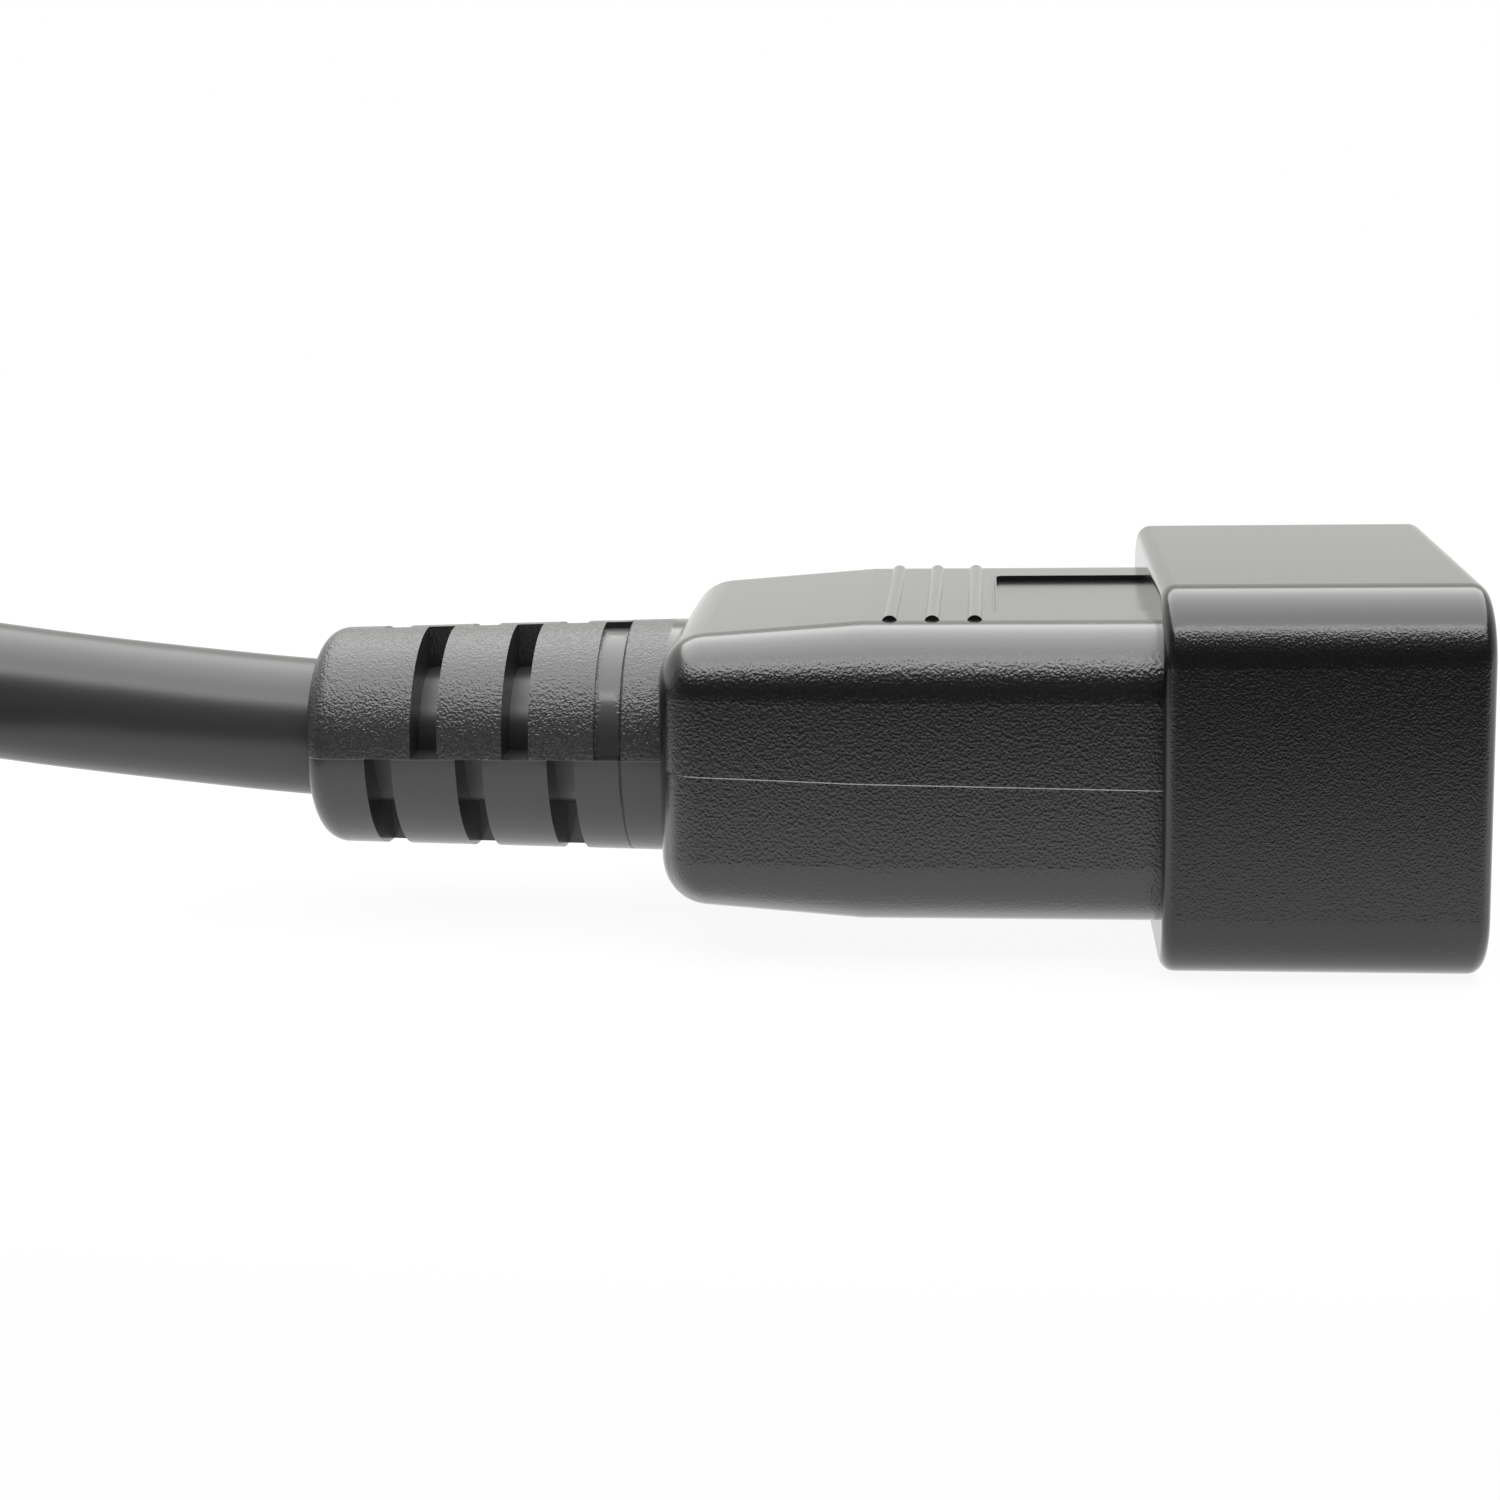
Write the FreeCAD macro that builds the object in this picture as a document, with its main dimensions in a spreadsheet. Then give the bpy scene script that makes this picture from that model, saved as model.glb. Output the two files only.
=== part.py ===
import FreeCAD, Part
import math
import os
import re

import Sketcher
from FreeCAD import Placement, Rotation, Vector

# A moulded C20 power plug on its lead, in millimetres. The plug lies along X with its mouth towards
# +X, and rests on the lower wide face of its shroud, whose centre is the origin. The lead runs off
# towards -X, down to the floor, round a coil, and ends in a C19 connector that lies on the coil.

# name, value, what it is
SIZES = [
    # shroud round the mouth
    ("shroud_length", 19.6, "shroud along the plug"),
    ("shroud_width", 32.5, "shroud across its wide side"),
    ("shroud_height", 24.4, "shroud across its narrow side"),
    ("shroud_corner", 4.4, "radius of the shroud's long corners"),
    ("shroud_edge_round", 0.95, "radius of the shroud's rim and rear edge"),
    ("mouth_width", 29.0, "inside of the mouth, wide side"),
    ("mouth_height", 21.0, "inside of the mouth, narrow side"),
    ("mouth_corner", 2.9, "radius of the mouth's corners"),
    ("mouth_depth", 17.9, "depth of the mouth"),
    # tail that the soft grip is moulded round, the same at both ends of the lead
    ("tail_width", 24.0, "tail across its wide side"),
    ("tail_height", 13.0, "tail across its narrow side"),
    ("tail_corner", 2.0, "radius of the tail's corners"),
    ("tail_length", 6.0, "tail behind the housing"),
    ("lip_stand", 0.8, "how far the locking lip stands out of the tail"),
    ("lip_length", 1.5, "locking lip along the tail"),
    ("lip_distance", 2.2, "from the housing to the locking lip"),
    # blades
    ("blade_width", 8.0, "blade across"),
    ("blade_thickness", 2.0, "blade thickness"),
    ("blade_reach", 15.0, "line and neutral blades beyond the mouth's floor"),
    ("earth_reach", 16.6, "earth blade beyond the mouth's floor"),
    ("blade_tip_chamfer", 0.6, "chamfer round a blade's tip"),
    ("pole_offset", 6.5, "line and neutral blades off the middle"),
    ("pole_drop", 4.0, "line and neutral blades below the axis"),
    ("earth_rise", 4.0, "earth blade above the axis"),
    # crimps and cores
    ("neck_width", 3.0, "neck between blade and crimp, across"),
    ("neck_thickness", 1.4, "neck thickness"),
    ("neck_length", 2.5, "neck along the plug"),
    ("crimp_length", 5.0, "crimp barrel length"),
    ("crimp_wall", 0.7, "crimp barrel wall"),
    ("crimp_seam", 0.5, "open seam of the crimp barrel"),
    ("crimp_gap", 0.2, "from the neck to the end of the strands"),
    ("strand_diameter", 1.9, "bundle of copper strands"),
    ("core_diameter", 3.4, "insulated core"),
    ("core_slip", 0.04, "radial clearance round strands and cores"),
    ("core_strip", 1.0, "bare strands between the crimp and the insulation"),
    ("core_straight", 2.5, "core behind the strip before it turns in"),
    ("core_fan", 7.7, "length in which the cores come together"),
    ("filler_diameter", 1.6, "filler string"),
    ("filler_spread", 2.88, "filler strings off the cord's middle"),
    # inner mould
    ("inner_width", 21.0, "inner mould across its wide side"),
    ("inner_height", 13.0, "inner mould across its narrow side"),
    ("inner_corner", 2.0, "radius of the inner mould's corners"),
    ("inner_length", 24.0, "inner mould behind the tail"),
    ("jacket_grip", 3.0, "how far the jacket reaches into the inner mould"),
    # grip of the plug
    ("grip_width", 28.2, "grip across its wide side"),
    ("grip_height", 19.2, "grip across its narrow side"),
    ("grip_corner", 4.4, "radius of the grip's long corners"),
    ("grip_straight", 18.4, "straight front part of the grip"),
    ("grip_length", 31.3, "whole grip"),
    ("grip_taper", 4.4, "taper of the rear part in degrees"),
    ("grip_rear_round", 3.0, "radius of the grip's rear edge"),
    ("rib_width", 0.95, "grip rib across"),
    ("rib_stand", 0.3, "grip rib above the face"),
    ("rib_pitch", 2.67, "from one grip rib to the next"),
    ("rib_first", 11.3, "from the shroud to the first grip rib"),
    ("rib_reach", 9.6, "grip rib to each side of the middle"),
    ("panel_length", 9.9, "sunk panel along the grip"),
    ("panel_reach", 6.8, "sunk panel to each side of the middle"),
    ("panel_depth", 0.35, "depth of the sunk panel"),
    ("panel_corner", 0.5, "corner radius of the sunk panel"),
    # strain relief, the same at both ends of the lead
    ("relief_length", 24.3, "strain relief behind the grip"),
    ("relief_front", 15.65, "strain relief diameter at the grip"),
    ("relief_rear", 14.6, "strain relief diameter at the cord"),
    ("relief_round", 1.7, "radius of the strain relief's end"),
    ("slot_width", 1.8, "flex slot along the cord"),
    ("slot_pitch", 6.1, "from one flex slot to the next"),
    ("slot_first", 4.25, "from the end to the first lower slot"),
    ("slot_stagger", 3.1, "from a lower slot to the next upper one"),
    ("blind_depth", 0.5, "depth of the blind slot next to the grip"),
    # connector at the far end
    ("far_width", 31.4, "connector grip across its wide side"),
    ("far_height", 23.2, "connector grip across its narrow side"),
    ("far_corner", 5.0, "radius of the connector's long corners"),
    ("far_straight", 16.0, "straight front part of the connector's grip"),
    ("far_length", 30.0, "whole grip of the connector"),
    ("far_taper", 6.0, "taper of its rear part in degrees"),
    ("far_rear_round", 3.0, "radius of its rear edge"),
    ("nose_clearance", 0.3, "nose inside a mouth, each side"),
    ("nose_stop", 0.3, "what the nose leaves free at a mouth's floor"),
    ("nose_edge_round", 0.8, "radius of the nose's front edge"),
    ("entry_clearance", 0.25, "blade entry round a blade"),
    ("entry_depth", 3.0, "front wall of the nose"),
    ("sleeve_wall", 0.75, "contact sleeve round a blade"),
    ("sleeve_length", 12.0, "contact sleeve along the nose"),
    ("sleeve_depth", 10.5, "blade passage in the sleeve"),
    ("sleeve_clearance", 0.1, "contact sleeve in its chamber"),
    # cord
    ("cord_diameter", 9.3, "cord"),
    ("coil_radius", 47.0, "coil at the middle of its turns"),
    ("coil_distance", 70.3, "from the strain relief's end back to the coil's middle"),
    ("coil_layer", 8.74, "rise from the lower turns to the upper ones"),
]

# The cord's route from the strain relief to the coil: x from the end of the strain relief, y and
# height in the frame. It leaves straight, rises a little and comes down to lie on the floor.
LEAD_ROUTE = [
    (0.0, 0.0, "shroud_height / 2"),
    (-10.0, 0.0, "shroud_height / 2"),
    (-22.0, 0.0, "14.1"),
    (-34.0, 0.6, "14.2"),
    (-46.0, 2.2, "12.0"),
    (-58.0, 3.8, "8.7"),
    (-70.0, 4.4, "6.0"),
    (-82.0, 3.3, "cord_diameter / 2"),
    (-93.0, 0.6, "cord_diameter / 2"),
]
LEAD_SIDE = "3.8"  # y at which the lead runs into the coil's outer turn
# The route from the coil's upper turns up to the connector: x and y from the coil's middle, and
# height. It goes on round the coil while it climbs, and ends straight along X.
TAIL_ROUTE = [
    (-53.6, 26.2, "12.6"),
    (-56.9, 13.9, "14.2"),
    (-56.9, 1.1, "16.9"),
    (-53.6, -11.2, "20.2"),
    (-47.2, -22.3, "23.6"),
    (-38.2, -31.3, "26.6"),
    (-27.1, -37.7, "28.8"),
    (-14.8, -41.0, "cord_diameter + coil_layer + far_height / 2"),
    (-2.0, -41.0, "cord_diameter + coil_layer + far_height / 2"),
]

doc = FreeCAD.newDocument("power_plug_and_lead")


def make_sheet():
    """The driving dimensions: name, value and description in one row each."""
    sheet = doc.addObject("Spreadsheet::Sheet", "Sizes")
    for row, (name, value, words) in enumerate(SIZES, start=1):
        sheet.set(f"A{row}", name)
        sheet.set(f"B{row}", str(value))
        sheet.set(f"C{row}", words)
        sheet.setAlias(f"B{row}", name)
    doc.recompute()
    return sheet


sheet = make_sheet()


def formula(words):
    """Size names in a formula, each made a reference to the sheet."""
    return re.sub(r"[a-z]+(?:_[a-z]+)+", r"Sizes.\g<0>", words)


def value(words):
    """What a formula of size names comes to, in millimetres or degrees."""
    return float(sheet.evalExpression(formula(words)))


def bind(thing, path, words):
    """Ties one property of an object to a formula of size names."""
    thing.setExpression(path, formula(words))


# ---------------------------------------------------------------- sketches


def new_body(label):
    body = doc.addObject("PartDesign::Body", label)
    body.Label = label
    return body


def origin_plane(body, role):
    return next(f for f in body.Origin.OriginFeatures if f.Role == role)


def new_sketch(body, name, role, right="0", up="0", out="0"):
    """A sketch on one of the body's origin planes, moved by formulas along its own axes.

    On YZ_Plane right is Y, up is Z and out is X. On XZ_Plane right is X, up is Z and out is -Y.
    """
    sketch = body.newObject("Sketcher::SketchObject", name)
    sketch.AttachmentSupport = [(origin_plane(body, role), "")]
    sketch.MapMode = "FlatFace"
    for axis, words in zip("xyz", (right, up, out)):
        bind(sketch, f"AttachmentOffset.Base.{axis}", words)
    return sketch


def add_size(sketch, kind, where, name, words):
    """A dimension of a sketch, named and tied to a formula."""
    sketch.addConstraint(Sketcher.Constraint(kind, *where, value(words)))
    sketch.renameConstraint(sketch.ConstraintCount - 1, name)
    bind(sketch, f"Constraints.{name}", words)


def draw_rectangle(sketch, width, height, corner=None):
    """A rectangle about the sketch's origin, with round corners if a radius is given."""
    w, h = value(width) / 2, value(height) / 2
    r = value(corner) if corner else 0.0
    ends = [
        ((-w + r, -h), (w - r, -h)),
        ((w, -h + r), (w, h - r)),
        ((w - r, h), (-w + r, h)),
        ((-w, h - r), (-w, -h + r)),
    ]
    for start, end in ends:
        sketch.addGeometry(Part.LineSegment(Vector(*start, 0), Vector(*end, 0)), False)
    if corner:
        middles = [(w - r, -h + r), (w - r, h - r), (-w + r, h - r), (-w + r, -h + r)]
        for i, middle in enumerate(middles):
            circle = Part.Circle(Vector(*middle, 0), Vector(0, 0, 1), r)
            begin = math.radians(-90 + 90 * i)
            sketch.addGeometry(Part.ArcOfCircle(circle, begin, begin + math.pi / 2), False)
            sketch.addConstraint(Sketcher.Constraint("Tangent", i, 2, 4 + i, 1))
            sketch.addConstraint(Sketcher.Constraint("Tangent", 4 + i, 2, (i + 1) % 4, 1))
        for i in (5, 6, 7):
            sketch.addConstraint(Sketcher.Constraint("Equal", 4, i))
        add_size(sketch, "Radius", (4,), "corner", corner)
    else:
        for i in range(4):
            sketch.addConstraint(Sketcher.Constraint("Coincident", i, 2, (i + 1) % 4, 1))
    for i, kind in enumerate(("Horizontal", "Vertical", "Horizontal", "Vertical")):
        sketch.addConstraint(Sketcher.Constraint(kind, i))
    add_size(sketch, "DistanceX", (-1, 1, 1, 1), "right", f"({width}) / 2")
    add_size(sketch, "DistanceX", (3, 1, -1, 1), "left", f"({width}) / 2")
    add_size(sketch, "DistanceY", (-1, 1, 2, 1), "top", f"({height}) / 2")
    add_size(sketch, "DistanceY", (0, 1, -1, 1), "bottom", f"({height}) / 2")


def draw_circle(sketch, radius):
    sketch.addGeometry(Part.Circle(Vector(), Vector(0, 0, 1), value(radius)), False)
    sketch.addConstraint(Sketcher.Constraint("Coincident", 0, 3, -1, 1))
    add_size(sketch, "Radius", (0,), "radius", radius)


def draw_polygon(sketch, corners):
    """A closed outline through corners given as pairs of formulas. A height of "0" is on the axis."""
    points = [Vector(value(x), value(y), 0) for x, y in corners]
    count = len(points)
    for i in range(count):
        sketch.addGeometry(Part.LineSegment(points[i], points[(i + 1) % count]), False)
    for i, (x, y) in enumerate(corners):
        sketch.addConstraint(Sketcher.Constraint("Coincident", i, 2, (i + 1) % count, 1))
        for kind, axis, words in (("DistanceX", -2, x), ("DistanceY", -1, y)):
            if words == "0":
                sketch.addConstraint(Sketcher.Constraint("PointOnObject", i, 1, axis))
            else:
                add_size(sketch, kind, (-1, 1, i, 1), f"{kind[-1].lower()}{i}", words)


def draw_quarter_rings(sketch, inner, outer, quarters):
    """Quarter rings about the sketch's origin, from the vertical to the horizontal line."""
    a, b = value(inner), value(outer)
    for n, quarter in enumerate(quarters):
        first = 4 * n
        begin = math.radians(90 * quarter)
        end = begin + math.pi / 2
        for radius in (a, b):
            circle = Part.Circle(Vector(), Vector(0, 0, 1), radius)
            sketch.addGeometry(Part.ArcOfCircle(circle, begin, end), False)
        for angle in (begin, end):
            way = Vector(math.cos(angle), math.sin(angle), 0)
            sketch.addGeometry(Part.LineSegment(way * a, way * b), False)
        for arc in (first, first + 1):
            sketch.addConstraint(Sketcher.Constraint("Coincident", arc, 3, -1, 1))
        # a quarter's first edge lies on the horizontal axis in quarters 0 and 2, else on the vertical
        axes = (-1, -2) if quarter % 2 == 0 else (-2, -1)
        for point, line, axis in ((1, first + 2, axes[0]), (2, first + 3, axes[1])):
            sketch.addConstraint(Sketcher.Constraint("Coincident", first, point, line, 1))
            sketch.addConstraint(Sketcher.Constraint("Coincident", first + 1, point, line, 2))
            sketch.addConstraint(Sketcher.Constraint("PointOnObject", first, point, axis))
            sketch.addConstraint(Sketcher.Constraint("PointOnObject", first + 1, point, axis))
        add_size(sketch, "Radius", (first,), f"inner{n}", inner)
        add_size(sketch, "Radius", (first + 1,), f"outer{n}", outer)


def draw_open_ring(sketch, inner, outer, seam):
    """A ring about the sketch's origin, with an open seam at the top."""
    a, b, gap = value(inner), value(outer), value(seam) / 2
    turns = [math.asin(gap / a), math.asin(gap / b)]
    for radius, turn in zip((a, b), turns):
        circle = Part.Circle(Vector(), Vector(0, 0, 1), radius)
        begin = math.pi / 2 + turn
        sketch.addGeometry(Part.ArcOfCircle(circle, begin, begin + 2 * math.pi - 2 * turn), False)
    low, high = a * math.cos(turns[0]), b * math.cos(turns[1])
    for x in (-gap, gap):
        sketch.addGeometry(Part.LineSegment(Vector(x, low, 0), Vector(x, high, 0)), False)
    for arc in (0, 1):
        sketch.addConstraint(Sketcher.Constraint("Coincident", arc, 3, -1, 1))
        for line, point in ((2, 1), (3, 2)):
            sketch.addConstraint(Sketcher.Constraint("Coincident", arc, point, line, arc + 1))
    for line in (2, 3):
        sketch.addConstraint(Sketcher.Constraint("Vertical", line))
    add_size(sketch, "Radius", (0,), "inner", inner)
    add_size(sketch, "Radius", (1,), "outer", outer)
    add_size(sketch, "DistanceX", (2, 1, -1, 1), "seam_left", f"({seam}) / 2")
    add_size(sketch, "DistanceX", (-1, 1, 3, 1), "seam_right", f"({seam}) / 2")


# ---------------------------------------------------------------- features


def add_feature(body, kind, name, sketch, length, back=False, taper=None):
    """A pad or pocket of a formula's length. A pad goes along the sketch's normal, a pocket against
    it, and back turns either round."""
    feature = body.newObject(f"PartDesign::{kind}", name)
    feature.Profile = sketch
    feature.Type = "Length"
    feature.Reversed = back
    bind(feature, "Length", length)
    if taper:
        bind(feature, "TaperAngle", taper)
    doc.recompute()
    return feature


def add_pattern(body, name, original, count, pitch, back=False):
    """Copies of a feature along X, the first where the original stands."""
    pattern = body.newObject("PartDesign::LinearPattern", name)
    pattern.Originals = [original]
    pattern.Direction = (origin_plane(body, "X_Axis"), [""])
    pattern.Reversed = back
    pattern.Occurrences = count
    bind(pattern, "Length", f"({pitch}) * {count - 1}")
    body.Tip = pattern
    doc.recompute()
    return pattern


def edges_across(feature, x):
    """Names of the edges of a feature that lie in the plane across X at x."""
    names = []
    for n, edge in enumerate(feature.Shape.Edges, start=1):
        box = edge.BoundBox
        if abs(box.XMin - x) < 1e-4 and abs(box.XMax - x) < 1e-4:
            names.append(f"Edge{n}")
    return names


def dress_edges(body, kind, name, feature, x, how_much):
    """A fillet or chamfer on all of a feature's edges that lie in the plane across X at x."""
    dressed = body.newObject(f"PartDesign::{kind}", name)
    dressed.Base = (feature, edges_across(feature, x))
    bind(dressed, "Radius" if kind == "Fillet" else "Size", how_much)
    doc.recompute()
    return dressed


def place_plug(thing):
    """Puts a piece of the plug at its height: its own X is the plug's axis."""
    bind(thing, "Placement.Base.z", "shroud_height / 2")


# ---------------------------------------------------------------- rigid housings

# Formulas for places along a housing's axis. The plug's shroud is centred on its own origin, and the
# connector's nose starts at its own origin.
PLUG_BACK = "(-shroud_length / 2)"
FAR_BACK = "0"


def add_tail(body, back):
    """The tail behind a housing, with the lip that locks the soft grip, and a slot for each blade."""
    sketch = new_sketch(body, "tail_outline", "YZ_Plane", out=back)
    draw_rectangle(sketch, "tail_width", "tail_height", "tail_corner")
    add_feature(body, "Pad", "tail", sketch, "tail_length", back=True)
    sketch = new_sketch(body, "lip_outline", "YZ_Plane", out=f"{back} - lip_distance")
    wide, high = "tail_width + 2 * lip_stand", "tail_height + 2 * lip_stand"
    draw_rectangle(sketch, wide, high, "tail_corner + lip_stand")
    return add_feature(body, "Pad", "lip", sketch, "lip_length", back=True)


# name, offset across, offset up, reach beyond the mouth's floor
POLES = [
    ("line", "(-pole_offset)", "(-pole_drop)", "blade_reach"),
    ("neutral", "pole_offset", "(-pole_drop)", "blade_reach"),
    ("earth", "0", "earth_rise", "earth_reach"),
]


def make_shroud():
    body = new_body("shroud_housing")
    half = "shroud_length / 2"
    sketch = new_sketch(body, "shroud_outline", "YZ_Plane", out=PLUG_BACK)
    draw_rectangle(sketch, "shroud_width", "shroud_height", "shroud_corner")
    block = add_feature(body, "Pad", "shroud_block", sketch, "shroud_length")
    rim = dress_edges(body, "Fillet", "rim_round", block, value(half), "shroud_edge_round")
    dress_edges(body, "Fillet", "rear_round", rim, value(PLUG_BACK), "shroud_edge_round")
    sketch = new_sketch(body, "mouth_outline", "YZ_Plane", out=half)
    draw_rectangle(sketch, "mouth_width", "mouth_height", "mouth_corner")
    add_feature(body, "Pocket", "mouth", sketch, "mouth_depth")
    add_tail(body, PLUG_BACK)
    for pole, across, up, _ in POLES:
        start = f"{PLUG_BACK} - tail_length"
        sketch = new_sketch(body, f"{pole}_slot_outline", "YZ_Plane", across, up, start)
        draw_rectangle(sketch, "blade_width", "blade_thickness")
        add_feature(body, "Pocket", f"{pole}_slot", sketch, "shroud_length + tail_length", back=True)
    place_plug(body)


def make_nose(place):
    """The connector's nose, which fits a mouth of the shroud's size, with its entries and chambers."""
    body = new_body("connector_nose")
    front = "(mouth_depth - nose_stop)"
    sketch = new_sketch(body, "nose_outline", "YZ_Plane", out=FAR_BACK)
    wide, high = "mouth_width - 2 * nose_clearance", "mouth_height - 2 * nose_clearance"
    draw_rectangle(sketch, wide, high, "mouth_corner - nose_clearance")
    block = add_feature(body, "Pad", "nose_block", sketch, front)
    dress_edges(body, "Fillet", "nose_round", block, value(front), "nose_edge_round")
    add_tail(body, FAR_BACK)
    for pole, across, up, _ in POLES:
        sketch = new_sketch(body, f"{pole}_entry_outline", "YZ_Plane", across, up, front)
        gap = "2 * entry_clearance"
        draw_rectangle(sketch, f"blade_width + {gap}", f"blade_thickness + {gap}")
        add_feature(body, "Pocket", f"{pole}_entry", sketch, "entry_depth")
        start = f"{FAR_BACK} - tail_length"
        sketch = new_sketch(body, f"{pole}_chamber_outline", "YZ_Plane", across, up, start)
        gap = "2 * (sleeve_wall + sleeve_clearance)"
        draw_rectangle(sketch, f"blade_width + {gap}", f"blade_thickness + {gap}")
        length = f"{front} - entry_depth + tail_length"
        add_feature(body, "Pocket", f"{pole}_chamber", sketch, length, back=True)
    place(body)


# ---------------------------------------------------------------- contacts

STRANDS_OUTSIDE = "(strand_diameter / 2 + core_slip)"
CRIMP_OUTSIDE = f"({STRANDS_OUTSIDE} + crimp_wall)"


def add_neck_and_crimp(body, across, up, back):
    """The neck behind a contact and the open barrel that is crimped round the strands."""
    sketch = new_sketch(body, "neck_outline", "YZ_Plane", across, up, back)
    draw_rectangle(sketch, "neck_width", "neck_thickness")
    add_feature(body, "Pad", "neck", sketch, "neck_length", back=True)
    sketch = new_sketch(body, "crimp_outline", "YZ_Plane", across, up, f"{back} - neck_length")
    draw_open_ring(sketch, STRANDS_OUTSIDE, CRIMP_OUTSIDE, "crimp_seam")
    add_feature(body, "Pad", "crimp", sketch, "crimp_length", back=True)


def make_blades():
    back = f"({PLUG_BACK} - tail_length)"
    for pole, across, up, reach in POLES:
        body = new_body(f"{pole}_blade")
        sketch = new_sketch(body, "blade_outline", "YZ_Plane", across, up, back)
        draw_rectangle(sketch, "blade_width", "blade_thickness")
        length = f"tail_length + shroud_length - mouth_depth + {reach}"
        blade = add_feature(body, "Pad", "blade", sketch, length)
        tip = value(f"{back} + {length}")
        dress_edges(body, "Chamfer", "tip_chamfer", blade, tip, "blade_tip_chamfer")
        add_neck_and_crimp(body, across, up, back)
        place_plug(body)


def make_contacts(place):
    """The connector's sleeves, each folded round the space that a blade slides into."""
    back = f"({FAR_BACK} - tail_length)"
    for pole, across, up, _ in POLES:
        body = new_body(f"connector_{pole}_contact")
        start = f"{back} + tail_length + mouth_depth - nose_stop - entry_depth - sleeve_length"
        sketch = new_sketch(body, "sleeve_outline", "YZ_Plane", across, up, start)
        draw_rectangle(sketch, "blade_width + 2 * sleeve_wall", "blade_thickness + 2 * sleeve_wall")
        add_feature(body, "Pad", "sleeve", sketch, "sleeve_length")
        mouth = f"{start} + sleeve_length"
        sketch = new_sketch(body, "passage_outline", "YZ_Plane", across, up, mouth)
        draw_rectangle(sketch, "blade_width", "blade_thickness")
        add_feature(body, "Pocket", "passage", sketch, "sleeve_depth")
        sketch = new_sketch(body, "stem_outline", "YZ_Plane", across, up, back)
        draw_rectangle(sketch, "neck_width", "neck_thickness")
        add_feature(body, "Pad", "stem", sketch, f"{start} - {back}")
        add_neck_and_crimp(body, across, up, back)
        place(body)


# ---------------------------------------------------------------- cores


def rounded_path(points):
    """A wire of straight runs joined by tangent arcs, and the arcs' radii. Each radius is 0.45 of the
    shorter run over the tangent of half the turn."""
    edges, radii = [], []
    last = points[0]
    for before, corner, after in zip(points, points[1:], points[2:]):
        inward, outward = corner - before, after - corner
        turn = inward.getAngle(outward)
        arc = 0.45 * min(inward.Length, outward.Length) / math.tan(turn / 2)
        reach = arc * math.tan(turn / 2)
        inward.normalize()
        outward.normalize()
        start, end = corner - inward * reach, corner + outward * reach
        inside = outward - inward
        inside.normalize()
        middle = corner + inside * (arc / math.cos(turn / 2) - arc)
        edges += [Part.LineSegment(last, start).toShape(), Part.Arc(start, middle, end).toShape()]
        radii.append(arc)
        last = end
    edges.append(Part.LineSegment(last, points[-1]).toShape())
    return Part.Wire(edges), radii


def make_sweep(name, wire, radius_words):
    """A round solid along a wire: a circle whose radius is tied to the sheet, swept. Runs that meet
    at an angle are mitred."""
    route = doc.addObject("Part::Feature", f"{name}_route")
    route.Shape = wire
    circle = doc.addObject("Part::Circle", f"{name}_section")
    bind(circle, "Radius", radius_words)
    start = wire.Edges[0]
    way = start.tangentAt(start.FirstParameter)
    circle.Placement = Placement(start.Vertexes[0].Point, Rotation(Vector(0, 0, 1), way))
    sweep = doc.addObject("Part::Sweep", name)
    sweep.Sections = [circle]
    sweep.Spine = (route, [f"Edge{n}" for n in range(1, len(wire.Edges) + 1)])
    sweep.Solid = True
    sweep.Transition = "Right corner"
    doc.recompute()
    return sweep


def cut(name, base, tool):
    piece = doc.addObject("Part::Cut", name)
    piece.Base = base
    piece.Tool = tool
    piece.Label = name
    doc.recompute()
    return piece


def core_lay(pole):
    """Where a core lies in the cord: three round cores that touch, the earth core on top."""
    spread = value("core_diameter / sqrt(3) + core_slip")
    angle = math.radians({"earth": 90, "line": 210, "neutral": 330}[pole])
    return spread * math.cos(angle), spread * math.sin(angle)


def make_cores(prefix, back, end, place):
    """The three cores behind a housing's tail: strands, insulation, and the room that they take.

    Each runs straight out of its crimp, slants in to its place in the cord and runs straight again.
    """
    skins = []
    for pole, across, up, _ in POLES:
        y, z = value(across), value(up)
        lay_y, lay_z = core_lay(pole)
        crimp_back = value(f"{back} - neck_length - crimp_length")
        strip_back = crimp_back - value("core_strip")
        turn_in = strip_back - value("core_straight")
        turn_out = turn_in - value("core_fan")
        finish = Vector(value(end), lay_y, lay_z)
        rest = [Vector(turn_in, y, z), Vector(turn_out, lay_y, lay_z), finish]
        strands_from = value(f"{back} - neck_length - crimp_gap")
        bare = Part.makePolygon([Vector(strands_from, y, z), *rest])
        covered = Part.makePolygon([Vector(strip_back, y, z), *rest])
        name = f"{prefix}{pole}"
        strands = make_sweep(f"{name}_conductor", bare, "strand_diameter / 2")
        strands.Label = f"{name}_conductor"
        skin = make_sweep(f"{name}_skin", covered, "core_diameter / 2")
        bore = make_sweep(f"{name}_bore", covered, STRANDS_OUTSIDE)
        core = cut(f"{name}_core", skin, bore)
        place(strands)
        place(core)
        skins.append(skin)
    return skins


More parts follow.
